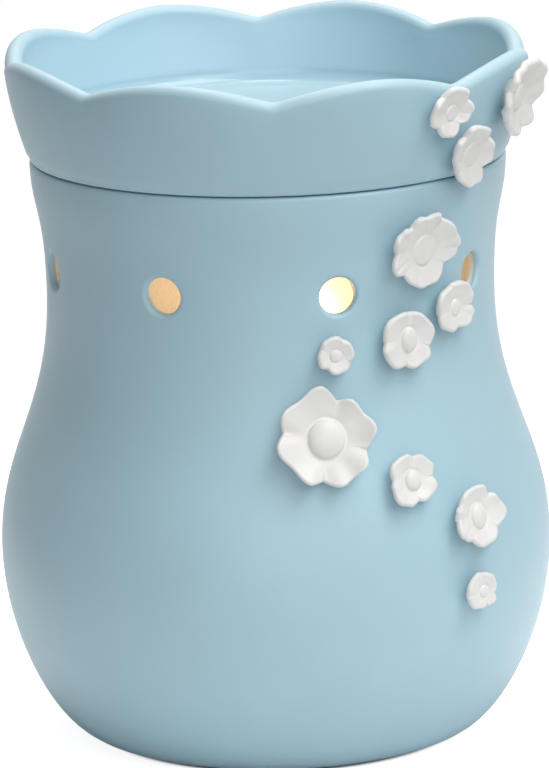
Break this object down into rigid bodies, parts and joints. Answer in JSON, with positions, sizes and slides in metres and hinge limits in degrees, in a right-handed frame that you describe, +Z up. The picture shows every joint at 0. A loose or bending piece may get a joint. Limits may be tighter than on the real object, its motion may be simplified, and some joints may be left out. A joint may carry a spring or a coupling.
{
  "type": "wax warmer",
  "caption": "Ceramic electric wax warmer: waisted lamp body with light holes, lift-off dish with a scalloped rim, white ceramic flowers and a screw-in globe lamp.",
  "frame": {"origin": "on the table, under the middle of the base", "axes": "+Z up, -Y to the front that shows two light holes and the largest flower, +X to the side that the flowers trail down"},
  "size_m": [0.128, 0.1295, 0.1621],
  "materials": {
    "blue_glaze": "satin",
    "white_glaze": "satin",
    "pearl_glass": "satin",
    "clear_glass": "gloss",
    "nickel": "satin",
    "brass_sheet": "satin",
    "tungsten": "matte",
    "solder": "satin",
    "black_glass": "gloss",
    "porcelain": "satin",
    "zinc_steel": "satin",
    "rubber": "matte"
  },
  "bodies": {
    "base": {"body_shell": "blue_glaze", "body_flower_top": "white_glaze", "body_flower_right": "white_glaze", "body_flower_middle": "white_glaze", "body_flower_left": "white_glaze", "body_flower_large": "white_glaze", "body_flower_low": "white_glaze", "body_flower_belly": "white_glaze", "body_flower_last": "white_glaze", "cord_gland": "rubber", "base_plate": "zinc_steel", "clamp_plate": "zinc_steel", "lower_nut": "zinc_steel", "upper_nut": "zinc_steel", "threaded_tube": "zinc_steel", "holder_body": "porcelain", "holder_sleeve": "brass_sheet", "holder_contact": "brass_sheet", "foot_pad_1": "rubber", "foot_pad_2": "rubber", "foot_pad_3": "rubber", "foot_pad_4": "rubber"},
    "dish": {"dish": "blue_glaze", "dish_flower_small": "white_glaze", "dish_flower_low": "white_glaze", "dish_flower_side": "white_glaze"},
    "lamp": {"lamp_globe": "pearl_glass", "lamp_stem": "clear_glass", "lamp_lead_left": "nickel", "lamp_lead_right": "nickel", "lamp_filament": "tungsten", "lamp_cap": "nickel", "lamp_insulator": "black_glass", "lamp_contact": "solder"}
  },
  "joints": [
    {"name": "dish_lift", "type": "slide", "parent": "base", "child": "dish", "axis": [0, 0, 1], "range_m": [0, 0.05]},
    {"name": "lamp_unscrew", "type": "slide", "parent": "base", "child": "lamp", "axis": [0, 0, 1], "range_m": [0, 0.0085]}
  ]
}
